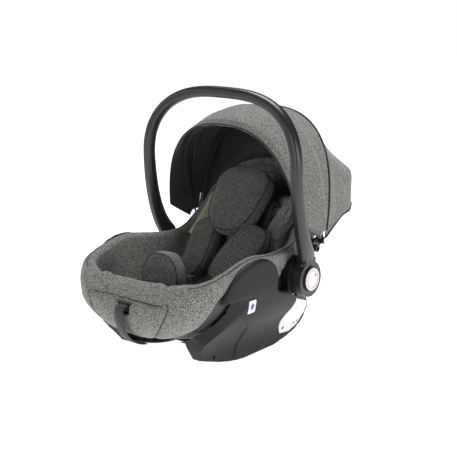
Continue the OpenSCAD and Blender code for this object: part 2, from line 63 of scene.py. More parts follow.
def link(name, data):
    o = bpy.data.objects.new(name, data)
    bpy.context.scene.collection.objects.link(o)
    return o


def mesh_object(name, points, faces):
    mesh = bpy.data.meshes.new(name)
    mesh.from_pydata([tuple(p) for p in place(points)], [], [tuple(f) for f in faces])
    mesh.validate()
    mesh.update()
    return link(name, mesh)


def shade(o, smooth):
    for f in o.data.polygons:
        f.use_smooth = smooth


def new_object(name, points, faces, smooth=True):
    """A closed solid whose faces look outward."""
    o = mesh_object(name, points, faces)
    b = bmesh.new()
    b.from_mesh(o.data)
    if b.calc_volume(signed=True) < 0:
        bmesh.ops.reverse_faces(b, faces=b.faces)
    b.to_mesh(o.data)
    b.free()
    shade(o, smooth)
    return o


def apply_modifiers(o):
    bpy.context.view_layer.update()
    graph = bpy.context.evaluated_depsgraph_get()
    mesh = bpy.data.meshes.new_from_object(o.evaluated_get(graph), depsgraph=graph)
    old = o.data
    o.modifiers.clear()
    o.data = mesh
    mesh.name = old.name + "_m"
    if old.users == 0:
        bpy.data.meshes.remove(old)
    return o


def vertex_values(o, what):
    values = np.zeros(len(o.data.vertices) * 3)
    o.data.vertices.foreach_get(what, values)
    return values.reshape(-1, 3)


def coords(o):
    return local(vertex_values(o, "co"))


def normals(o):
    return vertex_values(o, "normal")


def set_coords(o, points):
    o.data.vertices.foreach_set("co", place(points).ravel())
    o.data.update()


def drop(o):
    mesh = o.data
    bpy.data.objects.remove(o)
    if mesh.users == 0:
        bpy.data.meshes.remove(mesh)


def boolean(o, other, operation):
    m = o.modifiers.new("b", "BOOLEAN")
    m.object, m.operation, m.solver = other, operation, "MANIFOLD"
    apply_modifiers(o)
    drop(other)
    return o


def remesh(o, voxel, smooth):
    """Rebuilds a solid from voxels of a size in millimetres, then smooths it."""
    m = o.modifiers.new("r", "REMESH")
    m.mode, m.voxel_size = "VOXEL", voxel / 1000
    m = o.modifiers.new("s", "SMOOTH")
    m.factor, m.iterations = 0.5, smooth
    apply_modifiers(o)
    shade(o, True)


def join(objects, name):
    points, faces = [], []
    for o in objects:
        base = len(points)
        points.extend(coords(o))
        faces.extend([[base + i for i in f.vertices] for f in o.data.polygons])
        drop(o)
    return new_object(name, points, faces)


def loft(name, rings, caps=True):
    n, m = len(rings[0]), len(rings)
    faces = [(i * n + j, i * n + (j + 1) % n, (i + 1) * n + (j + 1) % n, (i + 1) * n + j)
             for i in range(m - 1) for j in range(n)]
    if caps:
        faces.append(tuple(range(n - 1, -1, -1)))
        faces.append(tuple((m - 1) * n + j for j in range(n)))
    return new_object(name, [p for r in rings for p in r], faces)


def spline(a, b, c, d, t):
    """A point between b and c, at t from 0 to 1, on a smooth curve through four points."""
    return 0.5 * (2 * b + (c - a) * t + (2 * a - 5 * b + 4 * c - d) * t * t
                  + (3 * b - a - 3 * c + d) * t ** 3)


def spline_at(points, x):
    """A point on a smooth curve through a list of points, where x counts points from the first."""
    last = len(points) - 1
    x = min(max(x, 0), last)
    i = min(int(x), last - 1)
    return spline(points[max(i - 1, 0)], points[i], points[i + 1], points[min(i + 2, last)], x - i)


def smooth_path(path, per=8, closed=False):
    """A curve through every point of a path, with so many steps to each span."""
    p = np.asarray(path, float)
    n = len(p)
    out = []
    for i in range(n if closed else n - 1):
        near = [(i + k) % n if closed else min(max(i + k, 0), n - 1) for k in (-1, 0, 1, 2)]
        out += [spline(*p[near], t) for t in np.linspace(0, 1, per, endpoint=False)]
    if not closed:
        out.append(p[-1])
    return np.array(out)


def tangents(p, closed=False):
    if closed:
        t = np.roll(p, -1, 0) - np.roll(p, 1, 0)
    else:
        t = np.gradient(p, axis=0)
    return t / np.maximum(np.linalg.norm(t, axis=1, keepdims=True), 1e-9)


def tube(name, path, r, sides=10, closed=False):
    """A round cord along a path in millimetres; r is one radius or one for each point."""
    p = np.asarray(path, float)
    t = tangents(p, closed)
    a = np.cross(t, [0.13, 0.21, 0.97])
    a /= np.maximum(np.linalg.norm(a, axis=1, keepdims=True), 1e-9)
    b = np.cross(a, t)
    radius = np.broadcast_to(r, len(p))
    circle = unit_circle(sides)
    rings = [[p[i] + radius[i] * (a[i] * y + b[i] * z) for y, z in circle] for i in range(len(p))]
    if not closed:
        return loft(name, rings)
    o = loft(name, rings + rings[:1], caps=False)
    mesh = bmesh.new()
    mesh.from_mesh(o.data)
    bmesh.ops.remove_doubles(mesh, verts=mesh.verts, dist=1e-6)
    mesh.to_mesh(o.data)
    mesh.free()
    return o


def unit_circle(n):
    return [(math.cos(q), math.sin(q)) for q in np.linspace(0, 2 * math.pi, n, endpoint=False)]


def ribbon(name, path, width, thick, side=(1, 0, 0)):
    """Flat webbing with rounded edges; side gives the width direction."""
    p = np.asarray(path, float)
    t = tangents(p)
    s = side - t * (t @ np.array(side, float))[:, None]
    s /= np.linalg.norm(s, axis=1, keepdims=True)
    u = np.cross(s, t)
    half = [(-.5, -.18), (-.47, -.5), (.47, -.5), (.5, -.18)]
    section = half + [(-x, -y) for x, y in half]
    rings = [[p[i] + s[i] * width * x + u[i] * thick * y for x, y in section] for i in range(len(p))]
    return loft(name, rings)


def tree(o):
    b = bmesh.new()
    b.from_mesh(o.data)
    t = BVHTree.FromBMesh(b)
    b.free()
    return t


def snapped(path, surface, lift=0.0):
    """Moves a path in millimetres onto a surface; returns points and normals."""
    out, nor = [], []
    for p in place(path):
        hit = surface.find_nearest(Vector(p))
        out.append(np.array(hit[0]) + np.array(hit[1]) * lift / 1000)
        nor.append(np.array(hit[1]))
    return local(out), np.array(nor)


def resample(path, step):
    p = np.asarray(path, float)
    d = np.concatenate([[0], np.cumsum(np.linalg.norm(np.diff(p, axis=0), axis=1))])
    n = max(int(d[-1] / step), 1)
    s = np.linspace(0, d[-1], n + 1)
    return np.stack([np.interp(s, d, p[:, k]) for k in range(3)], 1)


def groove(o, path, depth, width):
    """Presses a sewn channel into a piece along a path."""
    co, no = coords(o), normals(o)
    path = resample(path, 2.0)
    lo, hi = path.min(0) - 4 * width, path.max(0) + 4 * width
    near = np.where(np.all((co > lo) & (co < hi), axis=1))[0]
    for start in range(0, len(near), 4000):
        k = near[start:start + 4000]
        d = np.sqrt(((co[k][:, None, :] - path[None]) ** 2).sum(2).min(1))
        co[k] -= no[k] * (depth * np.exp(-(d / width) ** 2))[:, None]
    set_coords(o, co)


def stitches(name, paths, surface, pitch=4.0, length=2.6, r=0.35, lift=0.1):
    """Sewn thread: one dash for each stitch, lying on the surface."""
    points, faces = [], []
    for path in paths:
        p, n = snapped(resample(path, pitch), surface, lift)
        for i in range(len(p) - 1):
            d = p[i + 1] - p[i]
            gap = np.linalg.norm(d)
            if gap < pitch * 0.4 or gap > pitch * 2.5:
                continue
            d /= gap
            s = np.cross(d, n[i])
            s /= max(np.linalg.norm(s), 1e-9)
            base = len(points)
            for f, w, h in ((0, 0.5, -0.3), (0.2, 1, 0.6), (0.8, 1, 0.6), (1, 0.5, -0.3)):
                c = p[i] + d * length * f
                for q in range(4):
                    a = math.pi / 2 * q + math.pi / 4
                    points.append(c + r * w * (s * math.cos(a) + n[i] * math.sin(a)) + n[i] * r * h)
            for k in range(3):
                for q in range(4):
                    q2 = (q + 1) % 4
                    faces.append((base + k * 4 + q, base + k * 4 + q2,
                                  base + k * 4 + 4 + q2, base + k * 4 + 4 + q))
            faces.append((base, base + 3, base + 2, base + 1))
            faces.append((base + 12, base + 13, base + 14, base + 15))
    return new_object(name, points, faces)


def soft_noise(p, scale, seed):
    """Smooth pseudo-random field in about -1..1 from summed sines, for wrinkles."""
    rng = np.random.RandomState(seed)
    out = np.zeros(len(p))
    for _ in range(7):
        k = rng.normal(size=3)
        k = k / np.linalg.norm(k) * 2 * math.pi / scale * rng.uniform(0.7, 1.5)
        out += np.sin(p @ k + rng.uniform(0, 6.28))
    return out / 3.2


def rumple(o, amount, scale, seed):
    co, no = coords(o), normals(o)
    set_coords(o, co + no * (amount * soft_noise(co, scale, seed))[:, None])


def puff(o, voxel, cap, pressure=4.0, frames=20):
    """Fills a cushion by cloth simulation with air pressure; no point moves past the cap."""
    remesh(o, voxel, smooth=2)
    before = coords(o)
    m = o.modifiers.new("Cloth", "CLOTH")
    c = m.settings
    c.quality = 5
    c.mass = 0.3
    c.use_pressure = True
    c.uniform_pressure_force = pressure
    c.effector_weights.gravity = 0
    c.tension_stiffness = c.compression_stiffness = 12
    c.bending_stiffness = 0.6
    m.point_cache.frame_start, m.point_cache.frame_end = 1, frames
    for f in range(1, frames + 1):
        bpy.context.scene.frame_set(f)
    apply_modifiers(o)
    move = coords(o) - before
    size = np.linalg.norm(move, axis=1, keepdims=True)
    move *= np.minimum(1, cap / np.maximum(size, 1e-6))
    set_coords(o, before + np.nan_to_num(move))
    bpy.context.scene.frame_set(1)


# ---------------------------------------------------------------- materials

def material(name, color, rough=0.6, metal=0.0, sheen=0.0, spec=0.5):
    m = bpy.data.materials.new(name)
    m.use_nodes = True
    b = m.node_tree.nodes["Principled BSDF"]
    values = {"Base Color": (*color, 1), "Roughness": rough, "Metallic": metal, "Sheen Weight": sheen,
              "Sheen Roughness": 0.5, "Specular IOR Level": spec}
    for key, value in values.items():
        b.inputs[key].default_value = value
    return m, m.node_tree, b


def node(t, kind, **values):
    n = t.nodes.new(kind)
    for k, v in values.items():
        if k in n.inputs:
            n.inputs[k].default_value = v
        else:
            setattr(n, k, v)
    return n


def object_coords(t, scale=(1, 1, 1)):
    c = node(t, "ShaderNodeTexCoord")
    m = node(t, "ShaderNodeMapping", Scale=scale)
    t.links.new(c.outputs["Object"], m.inputs["Vector"])
    return m.outputs["Vector"]


def noise_tex(t, vector, scale, detail=2.0, rough=0.5):
    n = node(t, "ShaderNodeTexNoise", Scale=scale, Detail=detail, Roughness=rough)
    t.links.new(vector, n.inputs["Vector"])
    return n.outputs["Fac"]


def wave_tex(t, vector, direction, **values):
    n = node(t, "ShaderNodeTexWave", bands_direction=direction, **values)
    t.links.new(vector, n.inputs["Vector"])
    return n.outputs["Fac"]


def ramp(t, value, stops):
    r = node(t, "ShaderNodeValToRGB")
    e = r.color_ramp.elements
    e[0].position, e[0].color = stops[0][0], (*stops[0][1], 1)
    e[1].position, e[1].color = stops[-1][0], (*stops[-1][1], 1)
    for pos, col in stops[1:-1]:
        x = e.new(pos)
        x.color = (*col, 1)
    t.links.new(value, r.inputs["Fac"])
    return r.outputs["Color"]


def math_node(t, op, a, b=0.5):
    n = node(t, "ShaderNodeMath", operation=op)
    for i, v in enumerate((a, b)):
        if isinstance(v, (int, float)):
            n.inputs[i].default_value = v
        else:
            t.links.new(v, n.inputs[i])
    return n.outputs[0]


def bump(t, b, height, strength, distance):
    n = node(t, "ShaderNodeBump", Strength=strength, Distance=distance)
    t.links.new(height, n.inputs["Height"])
    t.links.new(n.outputs["Normal"], b.inputs["Normal"])


def uneven_gloss(t, b, value, lo, hi):
    r = node(t, "ShaderNodeMapRange", **{"To Min": lo, "To Max": hi})
    t.links.new(value, r.inputs["Value"])
    t.links.new(r.outputs["Result"], b.inputs["Roughness"])


def melange(name, dark, mid, light):
    """Heathered cloth: flecks of lighter and darker yarn over a plain weave."""
    m, t, b = material(name, mid, rough=0.92, sheen=0.25, spec=0.25)
    v = object_coords(t)
    flecks = noise_tex(t, v, 560, 2, 0.7)
    fine = noise_tex(t, v, 1500, 1, 0.5)
    mixed = math_node(t, "ADD", math_node(t, "MULTIPLY", flecks, 0.75), math_node(t, "MULTIPLY", fine, 0.25))
    t.links.new(ramp(t, mixed, [(0.40, dark), (0.5, mid), (0.60, light)]), b.inputs["Base Color"])
    waves = [wave_tex(t, v, axis, Scale=260, Distortion=1.5, Detail=1) for axis in ("X", "Y", "Z")]
    weave = math_node(t, "ADD", math_node(t, "MULTIPLY", waves[0], waves[1]), waves[2])
    bump(t, b, math_node(t, "ADD", math_node(t, "MULTIPLY", weave, 0.5), flecks), 0.45, 0.0006)
    return m


def plain_cloth(name, color, light, rough=0.9):
    m, t, b = material(name, color, rough=rough, sheen=0.3, spec=0.25)
    v = object_coords(t)
    n = noise_tex(t, v, 700, 2, 0.6)
    t.links.new(ramp(t, n, [(0.35, color), (0.68, light)]), b.inputs["Base Color"])
    bump(t, b, math_node(t, "ADD", wave_tex(t, v, "DIAGONAL", Scale=300), n), 0.35, 0.0004)
    return m


def webbing(name, color, light):
    m, t, b = material(name, color, rough=0.7, sheen=0.15, spec=0.35)
    w = wave_tex(t, object_coords(t), "DIAGONAL", Scale=190, Distortion=0.6)
    t.links.new(ramp(t, w, [(0.25, color), (0.8, light)]), b.inputs["Base Color"])
    bump(t, b, w, 0.6, 0.0005)
    return m


def plastic(name, color, rough=0.42, grain=0.16, scale=1500, vary=0.12, spec=0.5):
    """Moulded plastic with a fine spark-eroded grain and slight scuffing."""
    m, t, b = material(name, color, rough=rough, spec=spec)
    v = object_coords(t)
    g = noise_tex(t, v, scale, 2, 0.5)
    big = noise_tex(t, v, 9, 4, 0.6)
    lo = tuple(c * (1 - vary) for c in color)
    hi = tuple(min(1, c * (1 + vary)) for c in color)
    t.links.new(ramp(t, big, [(0.3, lo), (0.7, hi)]), b.inputs["Base Color"])
    uneven_gloss(t, b, big, rough - 0.06, rough + 0.08)
    bump(t, b, g, grain, 0.0003)
    return m


def metal(name, color, rough=0.28):
    """Metal with a brushed grain across X."""
    m, t, b = material(name, color, rough=rough, metal=1.0)
    g = noise_tex(t, object_coords(t, (1, 60, 60)), 40, 3, 0.6)
    uneven_gloss(t, b, g, rough - 0.08, rough + 0.14)
    bump(t, b, g, 0.12, 0.0002)
    return m


M = {
    "melange": melange("melange_fabric", (0.014, 0.0135, 0.0125), (0.115, 0.111, 0.103), (0.36, 0.35, 0.33)),
    # A lighter copy of the melange: painted light on the insert and the side linings, which are the same
    # cloth lying in shade.
    "painted_light_melange": melange("melange_fabric_painted_light", (0.04, 0.039, 0.037), (0.26, 0.252, 0.237), (0.62, 0.605, 0.575)),
    # A darker copy of the melange: painted shade on the pillow and pads, which are the same cloth.
    "inner": melange("melange_fabric_painted_shade", (0.010, 0.0098, 0.009), (0.066, 0.064, 0.06), (0.21, 0.204, 0.192)),
    "lining": plain_cloth("black_lining", (0.006, 0.006, 0.007), (0.016, 0.016, 0.017)),
    "piping": plain_cloth("black_piping", (0.008, 0.008, 0.009), (0.022, 0.022, 0.023), 0.7),
    "thread": plain_cloth("dark_thread", (0.022, 0.022, 0.021), (0.05, 0.049, 0.047), 0.8),
    "webbing": webbing("black_webbing", (0.010, 0.010, 0.011), (0.032, 0.032, 0.034)),
    "base": plastic("charcoal_plastic", (0.0095, 0.0095, 0.0108), 0.52, 0.2, spec=0.2),
    "shell": plastic("shell_plastic", (0.016, 0.016, 0.017), 0.55, 0.2),
    "handle": plastic("handle_plastic", (0.0115, 0.0125, 0.015), 0.36, 0.1),
    "black": plastic("black_plastic", (0.012, 0.012, 0.013), 0.4, 0.12),
    "disc": plastic("white_disc", (0.62, 0.62, 0.63), 0.4, 0.05, vary=0.02),
    "gear": plastic("natural_nylon", (0.6, 0.59, 0.55), 0.5, 0.08, vary=0.04),
    "red": plastic("red_plastic", (0.42, 0.03, 0.025), 0.3, 0.05),
    "blue": plastic("blue_plastic", (0.03, 0.08, 0.3), 0.4, 0.1),
    "foam": plastic("grey_foam", (0.62, 0.62, 0.6), 0.85, 0.8, 260),
    "steel": metal("steel", (0.55, 0.55, 0.57)),
    "label": plastic("label_paper", (0.66, 0.66, 0.68), 0.55, 0.04, vary=0.03),
    "tag": plain_cloth("tag_cloth", (0.85, 0.8, 0.5), (0.97, 0.93, 0.7), 0.8),
}

NODE_LOOKS = {
    "shell": ["seat_shell"],
    "base": ["rocker_base"],
    "foam": ["impact_liner"],
    "handle": ["handle_bow", "handle_hub", "release_button"],
    "black": ["lock_plate", "buckle_body", "adjuster_housing", "adjuster_lever", "canopy_bracket",
              "mid_bow", "mid_bow_eye", "front_bow", "front_bow_eye"],
    "steel": ["hub_spindle", "release_spring", "plate_screws", "buckle_spring", "buckle_tongue",
              "adjuster_pin", "strap_yoke", "canopy_pin"],
    "gear": ["lock_gear"],
    "disc": ["button_disc"],
    "label": ["side_label", "rear_label"],
    "red": ["buckle_button"],
    "blue": ["rear_belt_guide"],
    "tag": ["seat_tag"],
    "melange": ["seat_cover", "seat_pad", "head_pillow", "crotch_pad", "shoulder_pad",
                "canopy_front_panel", "canopy_mid_panel", "canopy_rear_panel"],
    "webbing": ["shoulder_strap", "crotch_strap", "adjuster_strap"],
}


def dress(o, *looks):
    o.data.materials.clear()
    for k in looks:
        o.data.materials.append(M[k])


for look, stems in NODE_LOOKS.items():
    for name in [stem + end for stem in stems for end in ("", "_left", "_right")]:
        if name in NODES:
            dress(NODES[name], look)


def finish_piece(o, body, look, replaces=()):
    """Its material slot is its look's own; the piece joins its body, and the parts it replaces are hidden."""
    dress(o, look)
    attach(o, body)
    if replaces:
        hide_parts(*replaces)
    return o


# ---------------------------------------------------------------- bucket surface

STATIONS = np.array([
    [-358, 4, -350, 12, 94], [-366, -24, -336, 33, 136], [-356, -58, -312, 42, 166],
    [-325, -84, -283, 48, 180], [-280, -100, -250, 56, 184], [-220, -114, -205, 67, 184],
    [-150, -125, -155, 69, 181], [-85, -130, -95, 60, 172], [-25, -128, -40, 54, 163],
    [30, -108, 5, 60, 160], [65, -65, 50, 82, 160], [95, -10, 95, 112, 161],
    [135, 50, 135, 142, 160], [185, 105, 180, 163, 157], [228, 148, 220, 180, 150],
    [252, 178, 244, 192, 122]], float)
LAST = len(STATIONS) - 1


def station(u):
    return spline_at(STATIONS, u)


def bucket_point(u, a):
    s = station(u)
    q = math.radians(a)
    x = s[4] * math.copysign(abs(math.sin(q)) ** (2 / 2.4), math.sin(q))
    v = abs(math.cos(q)) ** (2 / 2.4)
    return np.array([x, s[2] + (s[0] - s[2]) * v, s[3] + (s[1] - s[3]) * v])


def bucket_normal(u, a):
    b = min(max(a, -88), 88)
    du = bucket_point(min(u + 0.05, LAST), b) - bucket_point(max(u - 0.05, 0), b)
    da = bucket_point(u, b + 2) - bucket_point(u, b - 2)
    n = np.cross(du, da)
    return n / np.linalg.norm(n)


def bucket(name, d, rise, along=3, across=30):
    """The bucket moved out by d, closed over the top, with its rim raised."""
    up = np.array([0, 0, rise])
    rings = []
    for i in range(LAST * along + 1):
        u = i / along
        mid = [bucket_point(u, a) + d * bucket_normal(u, a) for a in np.linspace(-90, 90, across + 1)]
        rings.append([mid[0] + up] + mid + [mid[-1] + up])
    return loft(name, [[p + up for p in rings[0]]] + rings + [[p + up for p in rings[-1]]])


def prism(name, outline, x0=-300, x1=300, axis=0):
    """An outline pushed along one axis; the outline holds the other two coordinates in order."""
    n = len(outline)
    points = [list(np.insert(np.array(p, float), axis, x)) for x in (x0, x1) for p in outline]
    faces = [tuple(range(n - 1, -1, -1)), tuple(range(n, 2 * n))]
    faces += [(i, (i + 1) % n, n + (i + 1) % n, n + i) for i in range(n)]
    return new_object(name, points, faces, smooth=False)


def prism_box(name, lo, hi):
    return prism(name, [(lo[1], lo[2]), (hi[1], lo[2]), (hi[1], hi[2]), (lo[1], hi[2])], lo[0], hi[0])


def both_sides(half, inset=0.0):
    return [(x - inset, v) for v, x in half] + [(inset - x, v) for v, x in half[::-1]]


# ---------------------------------------------------------------- padded cover

SKIRT = [(-420, -96), (-340, -96), (-322, -66), (-300, -16), (-283, 12), (-262, 32), (-232, 54),
         (-205, 66), (-160, 66), (-118, 40), (-84, 10), (-58, 6), (-40, 22), (0, 34), (50, 58),
         (100, 88), (150, 120), (205, 148), (300, 156)]


def rim_line(out, up, per=3):
    """The bucket's left rim, from foot to head, moved out and up."""
    return [bucket_point(i / per, 90) + out * bucket_normal(i / per, 90) + [0, 0, up]
            for i in range(LAST * per + 1)]


def make_cover():
    """A padded skin over the bucket, with a roll along its rim and a thick one at the foot end."""
    body = bucket("seat_cover_soft", 5.4, 4)
    skirt = prism("skirt", SKIRT + [(300, -300), (-420, -300)])
    boolean(skirt, bucket("skirt_inside", -3.4, 90), "DIFFERENCE")
    boolean(body, skirt, "DIFFERENCE")
    boolean(body, bucket("inside", -24, 90), "DIFFERENCE")
    left = rim_line(-8.5, -3)
    right = [p * [-1, 1, 1] for p in left]
    nose = [[x, -346, 12 - 6 * (x / 84) ** 2] for x in np.linspace(80, -80, 9)]
    head = [[x, 250, 190] for x in np.linspace(-96, 96, 7)]
    ring = resample(smooth_path(left[::-1] + nose + right + head, 2, closed=True), 6)
    roll = tube("rim_roll", ring, 12.5, 14, closed=True)
    t = np.linspace(-1, 1, 31)
    bolster = tube("foot_roll", [[104 * x, -340 + 10 * x * x, 9 + 3 * (1 - x * x)] for x in t],
                   [21 * (1 - abs(x) ** 6) ** 0.5 + 0.8 for x in t], 24)
    cover = join([body, roll, bolster], "seat_cover_soft")
    remesh(cover, 4.0, smooth=9)
    boolean(cover, prism_box("adjuster_slot", (-17, -420, -29), (17, -350, -4)), "DIFFERENCE")
    return cover


cover = make_cover()


# Seams of the cover: across the foot end, on top of its roll, down its corners, and along the rim.
def foot_seam(half, y, y_bow, z, z_bow, n):
    return smooth_path([[x, y + y_bow * (x / half) ** 2, z - z_bow * (x / half) ** 2]
                        for x in np.linspace(-half, half, n)], 4)


across_seam = foot_seam(97, -366, 4, 5, 2, 9)
crest_seam = foot_seam(84, -333, 2, 25, 5, 7)
corner_seams = [smooth_path([[s * 90, -326, 22], [s * 103, -336, 11], [s * 108, -346, 2],
                             [s * 106, -356, -14], [s * 94, -356, -36], [s * 72, -348, -62],
                             [s * 52, -334, -86]], 6) for s in (1, -1)]
side_seams = [smooth_path([(bucket_point(u, 90) + [-3, 0, 12]) * [s, 1, 1]
                           for u in (1.2, 2, 3, 4, 5, 6, 7, 8, 9, 9.6)], 6) for s in (1, -1)]
surface = tree(cover)
paths = []
for p in [across_seam, crest_seam] + corner_seams + side_seams:
    q, _ = snapped(resample(p, 3), surface)
    groove(cover, q, 3.2, 3.2)
    paths.append(q)


def lining_gather(co):
    """Where the side lining is drawn up by elastic, beside the head."""
    y, z = co[:, 1], co[:, 2]
    return np.exp(-((y - 70) / 70) ** 2) * np.exp(-((np.abs(co[:, 0]) - 120) / 45) ** 2)


co, no = coords(cover), normals(cover)
across = co[:, 0] * 0.35 + (co[:, 1] - co[:, 2]) * 0.16
pleats = np.sin(across * 0.42 + 0.8 * soft_noise(co, 60, 3)) * lining_gather(co)
hub_folds = np.sin(co[:, 1] * 0.33 + 0.9 * soft_noise(co, 50, 4)) * np.exp(-((co[:, 1] + 8) / 46) ** 2)
hub_folds *= (np.abs(co[:, 0]) > 150) * np.clip((56 - co[:, 2]) / 30, 0, 1)
set_coords(cover, co + no * (2.6 * pleats + 2.2 * hub_folds)[:, None])
rumple(cover, 0.9, 70, 5)
rumple(cover, 0.35, 26, 6)
surface = tree(cover)
finish_piece(cover, "seat", "melange", ["seat_cover"])
seam_thread = stitches("cover_stitching", [p + [0, 0, 4.5] for p in paths[:1]] + paths[1:4]
                       + [p + [0, 0, -5] for p in paths[4:]], surface)
finish_piece(seam_thread, "seat", "thread")
cords = []
for p in paths:
    line, _ = snapped(resample(p, 4), surface, 0.1)
    cords.append(tube("cover_cord", line, 1.1, 8))
finish_piece(join(cords, "cover_seam_piping"), "seat", "piping")

# ---------------------------------------------------------------- newborn insert

SIDES = (("left", 1), ("right", -1))
LINING_EDGES = (10, 85)
LINING_SEAM = 12.0


def lining_point(u, a, d, s):
    """A point on the seat's inside, d off the bucket, on the left for s = 1 and the right for s = -1."""
    return (bucket_point(u, a) - d * bucket_normal(u, a)) * [s, 1, 1]


def side_lining(name, s):
    """Cloth drawn up by elastic between the insert and the rim: pleats that run down the back."""
    low, high = LINING_EDGES
    rings = []
    for u in np.linspace(8.2, 14.2, 80):
        spread = math.exp(-((u - 11.4) / 2.6) ** 4)
        pinch = 1 - 0.8 * math.exp(-((u - LINING_SEAM) / 0.09) ** 2)
        front = []
        for a in np.linspace(low, high, 150):
            sway = 50 * math.sin(u * 1.3 + a * 0.05) + 26 * math.sin(u * 3.1 - a * 0.16)
            phase = math.radians(a * 27 + sway)
            height = 4.6 * abs(math.sin(phase)) ** 0.75 * (0.6 + 0.4 * math.sin(a * 0.37 + u))
            fill = 9 * math.sin(math.radians((a - low) * 180 / (high - low))) ** 0.5 if a < high else 0
            front.append(lining_point(u, a, 21.4 + spread * (3 + fill + height * pinch), s))
        back = [lining_point(u, a, 19.5, s) for a in np.linspace(high, low, 40)]
        rings.append(front + back)
    return loft(name, rings)


def make_insert():
    """A padded layer on the seat and up the back, open where the child sits."""
    body = bucket("seat_insert", -24, 0.5)
    plan = both_sides([(-250, 118), (-70, 118), (-20, 96), (40, 92), (146, 92)])
    outline = prism("outline", plan, -260, 180, axis=2)
    hollow = bucket("hollow", -46, 90)
    back = prism("back", [(-76, -120), (115, 200), (115, 400), (400, 400), (400, -120)])
    boolean(hollow, back, "DIFFERENCE")
    boolean(body, outline, "INTERSECT")
    boolean(body, hollow, "DIFFERENCE")
    return body


insert = make_insert()
puff(insert, 5.0, 7.0)
for x in (-92, 92):
    side_channel = [[x, -190, -70], [x, -100, -86], [x, -60, -70], [x, 0, 8], [x, 60, 108], [x, 84, 150]]
    groove(insert, smooth_path(side_channel, 8), 3.0, 5.0)
groove(insert, [[x, -62, -84] for x in np.linspace(-100, 100, 30)], 3.0, 6.0)
insert.modifiers.new("sub", "SUBSURF").levels = 1
apply_modifiers(insert)
co, no = coords(insert), normals(insert)
on_back = np.clip((co[:, 2] + 20) / 50, 0, 1) * (no[:, 1] < 0.2)
folds = np.abs(np.sin(math.pi * (co[:, 0] + 5 * soft_noise(co, 90, 8)) / 13)) ** 0.7 - 0.6
seam = 1 - 0.8 * np.exp(-((co[:, 2] - 128) / 3) ** 2)
set_coords(insert, co + no * (4.2 * on_back * folds * seam)[:, None])
rumple(insert, 0.8, 45, 11)
# The insert wears the lighter copy of the melange: painted light.
finish_piece(insert, "seat", "painted_light_melange", ["seat_pad"])

for side, s in SIDES:
    lining = side_lining("side_lining_" + side, s)
    # The side lining wears the lighter copy of the melange: painted light on cloth that lies in the canopy's
    # shadow.
    finish_piece(lining, "seat", "painted_light_melange")
    row = [lining_point(LINING_SEAM, a, 40, s) for a in np.linspace(20, 80, 40)]
    thread = stitches("lining_stitching_" + side, [row], tree(lining))
    finish_piece(thread, "seat", "thread")

# ---------------------------------------------------------------- pillows and pads

def turned(points, turn, centre):
    a, b, c = (math.radians(v) for v in turn)
    rx = np.array([[1, 0, 0], [0, math.cos(a), -math.sin(a)], [0, math.sin(a), math.cos(a)]])
    ry = np.array([[math.cos(b), 0, math.sin(b)], [0, 1, 0], [-math.sin(b), 0, math.cos(b)]])
    rz = np.array([[math.cos(c), -math.sin(c), 0], [math.sin(c), math.cos(c), 0], [0, 0, 1]])
    return np.asarray(points, float) @ (rz @ ry @ rx).T + centre


def signed_pow(x, p):
    return math.copysign(abs(x) ** p, x)


def pillow(name, centre, turn, size, power=2.6, taper=0.0, gusset=0.45):
    """A stuffed pad: two crowned faces joined by a sewn strip; also gives both seam lines."""
    around, inward = 72, 12
    w, t, h = size[0] / 2, size[1] / 2, size[2] / 2

    def ring(r, y):
        """The pad's outline at r times its size, y off its middle plane."""
        out = []
        for q in (2 * math.pi * j / around for j in range(around)):
            x, z = signed_pow(math.cos(q), 2 / power), signed_pow(math.sin(q), 2 / power)
            out.append((x * w * r * (1 + taper * z * r), y, z * h * r))
        return out

    def crown(r):
        return t * (gusset + (1 - gusset) * (1 - r ** 2.4) ** 0.7)

    steps = [k / inward for k in range(1, inward + 1)]
    rings = [ring(r, -crown(r)) for r in steps]
    rings += [ring(1 + 0.035 * (1 - v * v), -t * gusset * v * 1.6) for v in (0.5, 0, -0.5)]
    rings += [ring(r, crown(r)) for r in steps[::-1]]
    pad = loft(name, [turned(r, turn, centre) for r in rings])
    return pad, [turned(ring(1.0, v * t * gusset), turn, centre) for v in (-1, 1)]


def pad_set(name, cad_node, centre, turn, size, creases=(), **shape):
    pad, seams = pillow(name, centre, turn, size, **shape)
    remesh(pad, 3.2, smooth=3)
    for crease in creases:
        groove(pad, turned(crease, turn, centre), 3.0, 4.0)
    rumple(pad, 0.9, 34, len(name))
    # The pads wear the darker copy of the melange: painted shade where the canopy and handle shade them.
    finish_piece(pad, "seat", "inner", [cad_node])
    cords = []
    for seam in seams:
        line, _ = snapped(resample(np.vstack([seam, seam[:1]]), 4)[:-1], tree(pad), 0.5)
        cords.append(tube(name + "_cord", line, 1.5, 8, closed=True))
    finish_piece(join(cords, name + "_piping"), "seat", "piping")


neck_crease = [[x, -40, -28 - 8 * abs(x) / 50] for x in np.linspace(-46, 46, 12)]
pad_set("head_pillow_soft", "head_pillow", [-4, 22, 142], [-38, 0, 0], [132, 60, 162], [neck_crease],
        power=2.9, taper=0.17, gusset=0.5)
for side, s in SIDES:
    pad_set("shoulder_pad_soft_" + side, "shoulder_pad_" + side, [s * 54, -54, 36], [-47, s * 20, 0],
            [76, 44, 160], power=3.2, gusset=0.62)
pad_set("crotch_pad_soft", "crotch_pad", [0, -243, 0], [-4, 0, 0], [98, 50, 148], power=2.7, gusset=0.62)

# ---------------------------------------------------------------- webbing

